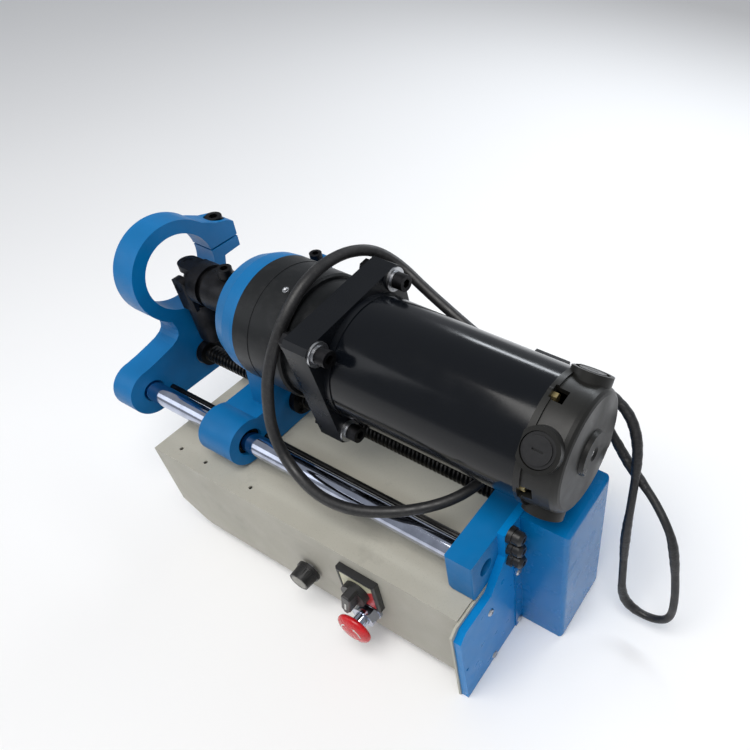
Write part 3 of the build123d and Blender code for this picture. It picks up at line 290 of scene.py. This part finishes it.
MAT = {
    "blue_cast": enamel("blue_cast", (0.0005, 0.158, 0.42), 0.40, peel=0.30, scuffs=0.08),
    "blue_sheet": enamel("blue_sheet", (0.0005, 0.165, 0.45), 0.24, peel=0.05, scuffs=0.0,
                         specular=0.25, cloudy=0.92),
    "blue_plate": enamel("blue_plate", (0.0005, 0.215, 0.58), 0.30, peel=0.05, scuffs=0.0,
                         specular=0.18, cloudy=0.92),
    "grey_powder": powder("grey_powder", (0.44, 0.425, 0.365)),
    "pale_powder": powder("pale_powder", (0.50, 0.49, 0.42), grain=0.2),
    "black_gloss": black_gloss("black_gloss"),
    "motor_paint": black_gloss("motor_paint", rough=0.13, dust=0.10),
    "black_bell": black_gloss("black_bell", color=(0.012, 0.012, 0.011), rough=0.32, dust=0.45),
    "turned_black": turned_black("turned_black"),
    "black_oxide": metal("black_oxide", (0.035, 0.035, 0.038), 0.42, scratch=0.2,
                         tint=(0.012, 0.012, 0.013)),
    "oily_black": metal("oily_black", (0.05, 0.048, 0.046), 0.30, scratch=0.15, tint=(0.02, 0.02, 0.02)),
    "chrome": metal("chrome", (0.52, 0.56, 0.68), 0.08, grain=(0.02, 1.0, 1.0), scratch=0.03),
    "bright": metal("bright", (0.80, 0.80, 0.80), 0.16, scratch=0.05),
    "zinc": metal("zinc", (0.55, 0.56, 0.58), 0.30),
    "steel": metal("steel", (0.42, 0.43, 0.45), 0.34),
    "brass_screw": metal("brass_screw", (0.62, 0.50, 0.24), 0.34),
    "copper": metal("copper", (0.70, 0.36, 0.20), 0.30),
    "black_plastic": plastic("black_plastic", (0.012, 0.012, 0.013), 0.38),
    "red_plastic": plastic("red_plastic", (0.62, 0.008, 0.015), 0.26, grain=0.08),
    "board": plastic("board", (0.02, 0.18, 0.07), 0.4),
    "ferrite": plastic("ferrite", (0.05, 0.05, 0.052), 0.6),
    "cable": sheath("cable", (0.011, 0.011, 0.012)),
    "belt": sheath("belt", (0.02, 0.02, 0.02), 0.6),
    "tape": wrapped("tape"),
    "pale_plastic": plastic("pale_plastic", (0.26, 0.25, 0.22), 0.35),
    "white_mark": plastic("white_mark", (0.75, 0.75, 0.72), 0.5, grain=0.1),
    "dial": selector_face("dial", at(280.4, 0, -41.0)),
}

# Material, width of the broken edges in metres or 0, and the CAD nodes that have both.
FINISHES = (
    ("grey_powder", 0.0008,
     "base_shell"),
    ("grey_powder", 0,
     "base_bottom_cover"),
    ("pale_powder", 0.0004,
     "base_end_flange"),
    ("blue_plate", 0.0007,
     "rear_plate"),
    ("blue_cast", 0.0008,
     "rod_block"),
    ("blue_cast", 0.0012,
     "front_bracket carriage_casting"),
    ("black_oxide", 0.0005,
     "bracket_clamp_screw flange_screws yoke_screw uj_cross screw_collar"),
    ("chrome", 0,
     "guide_rods"),
    ("oily_black", 0,
     "stop_rod lead_screw"),
    ("zinc", 0,
     "plate_screws speed_pot flange_washers grease_nipple"),
    ("blue_sheet", 0,
     "feed_box_cover"),
    ("black_plastic", 0.0004,
     "cable_glands base_gland brush_caps"),
    ("board", 0,
     "control_board"),
    ("black_plastic", 0.0005,
     "selector_switch"),
    ("black_plastic", 0.0008,
     "selector_handle motor_junction_box"),
    ("chrome", 0.0005,
     "estop_collar"),
    ("black_plastic", 0,
     "estop_contact_block speed_knob"),
    ("red_plastic", 0,
     "estop_button"),
    ("black_gloss", 0,
     "feed_motor"),
    ("steel", 0,
     "screw_bearings ball_bearings armature spindle feed_pulley drive_pulley "
     "planet_gear_1 planet_gear_2 planet_gear_3"),
    ("oily_black", 0.0004,
     "carriage_bushes"),
    ("black_oxide", 0.0004,
     "lead_nut carriage_clamp_screw"),
    ("turned_black", 0.0003,
     "gearbox_nose gearbox_spacer_ring ring_gear_housing"),
    ("turned_black", 0.0004,
     "motor_adapter"),
    ("black_gloss", 0.0012,
     "square_flange"),
    ("motor_paint", 0.0004,
     "motor_tube"),
    ("ferrite", 0,
     "motor_magnets brushes"),
    ("black_bell", 0.0008,
     "end_bell"),
    ("brass_screw", 0.0003,
     "tie_bolts"),
    ("copper", 0,
     "commutator"),
    ("black_oxide", 0.001,
     "uj_drive_yoke uj_driven_yoke"),
    ("belt", 0,
     "timing_belt"),
    ("cable", 0,
     "cable_motor_loop cable_rear_loop"),
)
FINISH = {node: (material, width) for material, width, nodes in FINISHES for node in nodes.split()}


def soften(obj, width, angle=32.0):
    """Rounds an object's hard edges by width."""
    bevel = obj.modifiers.new("broken_edges", "BEVEL")
    bevel.width = width
    bevel.segments = 2
    bevel.limit_method = "ANGLE"
    bevel.angle_limit = radians(angle)
    bevel.use_clamp_overlap = True
    bevel.harden_normals = False


def smooth(obj, angle=32.0):
    for polygon in obj.data.polygons:
        polygon.use_smooth = True
    obj.data.set_sharp_from_angle(angle=radians(angle))


def finish_nodes():
    for name, obj in NODES.items():
        material, width = FINISH[name]
        obj.data.materials.clear()
        obj.data.materials.append(MAT[material])
        smooth(obj)
        if width:
            soften(obj, width)


finish_nodes()


# ------------------------------------------------------------------ small builders
def add(name, mesh, material, body):
    obj = bpy.data.objects.new(name, mesh)
    bpy.context.scene.collection.objects.link(obj)
    obj.data.materials.append(MAT[material])
    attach(obj, body)
    return obj


def from_bmesh(bm, name):
    bmesh.ops.recalc_face_normals(bm, faces=bm.faces)
    mesh = bpy.data.meshes.new(name)
    bm.to_mesh(mesh)
    bm.free()
    return mesh


def grid_mesh(name, rows):
    """Closed skin over equal rings of points, with a cap on the first and the last."""
    bm = bmesh.new()
    made = [[bm.verts.new(p) for p in row] for row in rows]
    count = len(rows[0])
    for low, high in zip(made, made[1:]):
        for i in range(count):
            j = (i + 1) % count
            bm.faces.new((low[i], low[j], high[j], high[i]))
    bm.faces.new(made[0])
    bm.faces.new(list(reversed(made[-1])))
    return from_bmesh(bm, name)


def lathe(name, origin, direction, profile, steps=40):
    """Closed solid of revolution: profile is (distance along direction, radius) in millimetres."""
    direction = Vector(direction).normalized()
    side = direction.orthogonal().normalized()
    other = direction.cross(side)
    rows = []
    for along, radius in profile:
        centre = origin + direction * (along / 1000)
        rows.append([centre + (side * cos(tau * i / steps) + other * sin(tau * i / steps)) * (radius / 1000)
                     for i in range(steps)])
    return grid_mesh(name, rows)


# ------------------------------------------------------------------ cables
CABLE_LOOP = [
    (357, 199, 131), (333, 199, 131), (299, 200, 141), (261, 204, 156), (229, 207, 170), (202, 208, 187),
    (184, 196, 205), (173, 172, 213), (170, 142, 215), (171, 112, 210), (171, 86, 194), (167, 67, 168),
    (163, 54, 140), (163, 45, 112), (166, 38, 86), (179, 32, 63), (202, 26, 50), (232, 20, 47), (268, 23, 48),
    (302, 39, 50), (328, 60, 51), (346, 82, 53), (356, 106, 56), (358, 127, 57.5), (359, 146, 57),
    (358, 162, 47), (358, 172, 29.5), (358, 172, 10),
]
CABLE_REAR = [
    (393, 203, 136), (410, 203, 136), (430, 209, 131), (448, 210, 119), (463, 206, 107), (475, 196, 88),
    (481, 184, 62), (485, 172, 34), (488, 161, -6), (494, 153, -50), (498, 150, -95), (514, 150, -112),
    (538, 150, -112), (555, 150, -95), (553, 153, -57), (545, 158, -19), (535, 165, 12), (524, 171, 27),
    (504, 183, 39), (485, 190, 50), (467, 196, 61), (450, 202, 76), (437, 205, 92), (424, 203, 108),
    (410, 201, 118), (393, 201, 121),
]


def route(points):
    """One smooth spline that follows a cable's route."""
    curve = bpy.data.curves.new("route", "CURVE")
    curve.dimensions = "3D"
    curve.resolution_u = 12
    spline = curve.splines.new("NURBS")
    spline.points.add(len(points) - 1)
    for slot, point in zip(spline.points, points):
        slot.co = (*at(*point), 1)
    spline.order_u = 3
    spline.use_endpoint_u = True
    return curve


def centreline(points):
    """The points that the route's spline passes through."""
    holder = bpy.data.objects.new("route_line", route(points))
    bpy.context.scene.collection.objects.link(holder)
    depsgraph = bpy.context.evaluated_depsgraph_get()
    mesh = bpy.data.meshes.new_from_object(holder.evaluated_get(depsgraph))
    line = [v.co.copy() for v in mesh.vertices]
    bpy.data.objects.remove(holder)
    return line


LOOP_CABLE_D, REAR_CABLE_D = 0.011, 0.0085
LOOP_STEP, REAR_STEP = 0.004, 0.003


def length_of(line):
    return sum((b - a).length for a, b in zip(line, line[1:]))


def tube_rows(line, radius_at, steps=16):
    """Rings round a line, with a frame carried along it without twist."""
    rows = []
    normal = None
    for i, point in enumerate(line):
        ahead = line[min(i + 1, len(line) - 1)] - line[max(i - 1, 0)]
        ahead.normalize()
        normal = ahead.orthogonal() if normal is None else normal - ahead * normal.dot(ahead)
        normal.normalize()
        other = ahead.cross(normal)
        radius = radius_at(i)
        rows.append([point + (normal * cos(tau * k / steps) + other * sin(tau * k / steps)) * radius
                     for k in range(steps)])
    return rows


def resample(line, spacing):
    total = length_of(line)
    count = max(2, int(total / spacing))
    out, walked, index = [], 0.0, 0
    for i in range(count + 1):
        target = total * i / count
        while index < len(line) - 2 and walked + (line[index + 1] - line[index]).length < target:
            walked += (line[index + 1] - line[index]).length
            index += 1
        step = (line[index + 1] - line[index]).length
        out.append(line[index].lerp(line[index + 1], min(1.0, (target - walked) / max(step, 1e-9))))
    return out


def make_loop_cable():
    """Cable from the motor's junction box, over the gearbox and down to the base."""
    line = resample(centreline(CABLE_LOOP), LOOP_STEP)
    mesh = grid_mesh("motor_cable", tube_rows(line, lambda i: LOOP_CABLE_D / 2))
    obj = bpy.data.objects.new("motor_cable", mesh)
    bpy.context.scene.collection.objects.link(obj)
    obj.data.materials.append(MAT["cable"])
    smooth(obj)
    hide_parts("cable_motor_loop")
    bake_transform(obj)


# Each wrapped stretch: where it starts and ends along the rear leads, and how far it bulges.
TAPES = ((0.06, 0.21, 2.0), (0.27, 0.36, 1.2), (0.42, 0.50, 1.4), (0.66, 0.74, 1.2), (0.80, 0.90, 1.8))


def make_tape(line):
    """Wrapped stretches of insulating tape on the rear leads, bulging over the joints inside."""
    total = len(line) - 1
    made = []
    for index, (start, stop, bulge) in enumerate(TAPES):
        part = line[int(total * start):int(total * stop)]
        last = len(part) - 1

        def girth(i, last=last, bulge=bulge):
            ends = min(1.0, i / 3, (last - i) / 3)
            turns = 0.28 * sin(i * 1.9) + 0.15 * sin(i * 0.7 + 1.0)
            return (4.33 + ends * (bulge * 0.45 * sin(pi * i / last) + 0.25 + turns * 0.6)) / 1000

        obj = add(f"tape_{index + 1}", grid_mesh(f"tape_{index + 1}", tube_rows(part, girth, 20)), "tape",
                  "carriage")
        smooth(obj, 60)
        made.append(obj)
    return made


def make_rear_cable():
    """Leads that hang in a loop behind the motor, taped over most of their length."""
    line = resample(centreline(CABLE_REAR), REAR_STEP)
    mesh = grid_mesh("rear_cable", tube_rows(line, lambda i: REAR_CABLE_D / 2))
    obj = add("rear_cable", mesh, "cable", "carriage")
    smooth(obj)
    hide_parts("cable_rear_loop")
    make_tape(line)


make_loop_cable()
make_rear_cable()


# ------------------------------------------------------------------ lead screw with a real helix
def make_lead_screw():
    """Trapezoidal thread, one start, 5 mm pitch, with plain journals at both ends."""
    pitch, crest, root = 5.0, 10.0, 7.5
    start, stop, steps, parts = -32.0, 369.0, 36, 10

    def radius(x, k):
        if x < start or x > stop:
            return root
        phase = ((x - start) / pitch - k / steps) % 1.0
        if phase < 0.25:
            return root + (crest - root) * phase / 0.25
        if phase < 0.6:
            return crest
        if phase < 0.85:
            return crest - (crest - root) * (phase - 0.6) / 0.25
        return root

    xs = [-63.0, start - 0.01]
    xs += [start + pitch * i / parts for i in range(int((stop - start) / pitch * parts) + 1)]
    xs += [stop + 0.01, 436.0]
    rows = []
    for x in xs:
        rows.append([at(x, SCREW_Y + radius(x, k) * cos(tau * k / steps),
                        SCREW_Z + radius(x, k) * sin(tau * k / steps)) for k in range(steps)])
    mesh = grid_mesh("feed_screw_thread", rows)
    obj = add("feed_screw_thread", mesh, "oily_black", "feed_screw")
    smooth(obj, 40)
    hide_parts("lead_screw")


make_lead_screw()


# ------------------------------------------------------------------ controls and small trim
SEL_X, SEL_Z = 280.4, -41.0
HANDLE_TURN = radians(12.0)
STOP_X, STOP_Z = 283.4, -83.5
KNOB_X, KNOB_Z = 206.0, -71.0
BELL_X1 = 455.0


def near_face(node):
    """The CAD's y, in millimetres, of the face of a node nearest the control side."""
    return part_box(node)[0].y * 1000 + ORIGIN.y


def panel(name, x, z, half, corner, y, thick, turn=0.0):
    """Thin plate facing the control side: half is its half width and half height, all in millimetres."""
    half = half if isinstance(half, tuple) else (half, half)
    rows = []
    for depth, inset in ((thick, 0.0), (0.15, 0.0), (0.0, 0.15)):
        row = []
        for quarter in range(4):
            cx = (half[0] - corner) * (1 if quarter in (0, 3) else -1)
            cz = (half[1] - corner) * (1 if quarter in (0, 1) else -1)
            for step in range(7):
                bend = pi / 2 * quarter + pi / 12 * step
                dx, dz = cx + (corner - inset) * cos(bend), cz + (corner - inset) * sin(bend)
                row.append(at(x + dx * cos(turn) + dz * sin(turn), y + depth,
                              z - dx * sin(turn) + dz * cos(turn)))
        rows.append(row)
    return grid_mesh(name, rows)


def make_selector_trim():
    """Printed face in the square plate's recess, and the white line on the handle."""
    mesh = panel("selector_face", SEL_X, SEL_Z, 20.2, 3.0, -6.95, 0.5)
    face = add("selector_face", mesh, "dial", "base")
    smooth(face)
    front = near_face("selector_handle")
    x, z = SEL_X - 4.0 * sin(HANDLE_TURN), SEL_Z - 4.0 * cos(HANDLE_TURN)
    mesh = panel("selector_line", x, z, (1.1, 7.0), 0.9, front - 0.12, 0.5, HANDLE_TURN)
    line = add("selector_line", mesh, "white_mark", "selector")
    smooth(line)


# The stop button's outline: distance along y from the base's side, and radius, in millimetres.
STOP_HEAD = [(-22.5, 0.5), (-22.5, 9.5), (-23.6, 17.0), (-24.6, 19.0), (-26.0, 20.0), (-27.6, 20.1),
             (-29.4, 19.2), (-31.0, 16.6), (-32.2, 12.6), (-33.0, 7.6), (-33.3, 3.6), (-33.4, 0.5)]


def head_front(radius):
    """How far out the stop button's face stands at a radius, in millimetres of y."""
    face = STOP_HEAD[5:]
    for (near, wide), (far, thin) in zip(face, face[1:]):
        if thin <= radius <= wide:
            return near + (far - near) * (wide - radius) / (wide - thin)
    return face[-1][0]


def make_estop():
    """Red mushroom head on a bright stem, with three white turn-to-release marks."""
    centre = at(STOP_X, 0, STOP_Z)
    obj = add("stop_button", lathe("stop_button", centre, (0, 1, 0), STOP_HEAD, 56), "red_plastic",
              "emergency_stop")
    smooth(obj, 50)
    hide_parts("estop_button")
    profile = [(16, 0.5), (16, 8), (-20, 8), (-22.6, 7.2), (-22.6, 0.5)]
    mesh = lathe("stop_stem", centre, (0, 1, 0), profile)
    stem = add("stop_stem", mesh, "chrome", "emergency_stop")
    smooth(stem, 50)
    for index in range(3):
        rows = []
        for step in range(13):
            turn = tau / 3 * index + radians(6.0 * step)
            wide = 1.5 if step == 10 else 0.7 * (1 if step < 10 else (12.2 - step) / 2.2)
            row = []
            for offset, lift in ((-wide, 0.12), (wide, 0.12), (wide, -0.4), (-wide, -0.4)):
                reach = 12.0 + offset
                row.append(at(STOP_X + reach * cos(turn), head_front(reach) - lift,
                              STOP_Z + reach * sin(turn)))
            rows.append(row)
        name = f"stop_mark_{index + 1}"
        add(name, grid_mesh(name, rows), "white_mark", "emergency_stop")


def make_knob_cap():
    """Pale cap disc on the speed knob."""
    front = near_face("speed_knob")
    cap = add("knob_cap", lathe("knob_cap", at(KNOB_X, front, KNOB_Z), (0, 1, 0),
              [(0.6, 0.3), (0.6, 9.2), (0.0, 9.2), (-0.06, 8.8), (-0.12, 8.4), (-0.15, 0.3)], 48),
              "pale_plastic", "speed_control")
    smooth(cap, 50)


def make_bell_centre():
    """Bright turned centre in the motor's end cover."""
    profile = [(0.0, 0.3), (0.0, 5.6), (0.5, 6.0), (1.2, 5.5), (1.2, 3.6), (0.6, 3.1), (0.6, 0.3)]
    obj = add("bell_centre", lathe("bell_centre", at(BELL_X1 + 0.7, AXIS_Y, AXIS_Z), (1, 0, 0), profile, 40),
              "bright", "carriage")
    smooth(obj, 50)


make_selector_trim()
make_estop()
make_knob_cap()
make_bell_centre()


# ------------------------------------------------------------------ stage and light
def make_stage():
    floor_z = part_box("rear_plate")[0].z
    bm = bmesh.new()
    bmesh.ops.create_grid(bm, x_segments=1, y_segments=1, size=6.0)
    mesh = bpy.data.meshes.new("floor")
    bm.to_mesh(mesh)
    bm.free()
    floor = bpy.data.objects.new("floor", mesh)
    floor.location = (0, 0, floor_z - 0.0005)
    bpy.context.scene.collection.objects.link(floor)
    s = Shader("floor", rough=0.7)
    s.set("Base Color", s.mix(s.ramp(s.noise(1.2, 3.0), 0.3, 0.7), (0.96, 0.96, 0.965), (0.94, 0.94, 0.945)))
    floor.data.materials.append(s.material)


WORLD_COLOR, WORLD_STRENGTH = (0.92, 0.95, 1.0, 1), 0.38
# Name, position, point it faces, size, watts and colour of each soft light.
LIGHTS = (
    ("key", (0.2, -0.6, 1.9), (0.0, 0.0, 0.15), (1.4, 1.0), 27, (1.0, 0.98, 0.95)),
    ("side", (-1.4, -1.2, 1.1), (0.0, 0.0, 0.15), (1.0, 1.0), 4, (0.95, 0.97, 1.0)),
    ("back_strip", (0.15, 1.5, 1.0), (0.05, 0.0, 0.25), (1.8, 0.16), 12, (0.90, 0.95, 1.0)),
)


def area_light(name, position, target, size, power, color):
    data = bpy.data.lights.new(name, "AREA")
    data.shape = "RECTANGLE"
    data.size, data.size_y = size
    data.energy = power
    data.color = color
    lamp = bpy.data.objects.new(name, data)
    lamp.location = position
    lamp.rotation_euler = (Vector(target) - Vector(position)).to_track_quat("-Z", "Y").to_euler()
    bpy.context.scene.collection.objects.link(lamp)


def make_light():
    world = bpy.data.worlds.new("studio")
    world.use_nodes = True
    background = world.node_tree.nodes["Background"]
    background.inputs[0].default_value = WORLD_COLOR
    background.inputs[1].default_value = WORLD_STRENGTH
    bpy.context.scene.world = world
    for light in LIGHTS:
        area_light(*light)


make_stage()
make_light()
bpy.context.scene.view_settings.view_transform = "Standard"
bpy.context.scene.view_settings.look = "None"
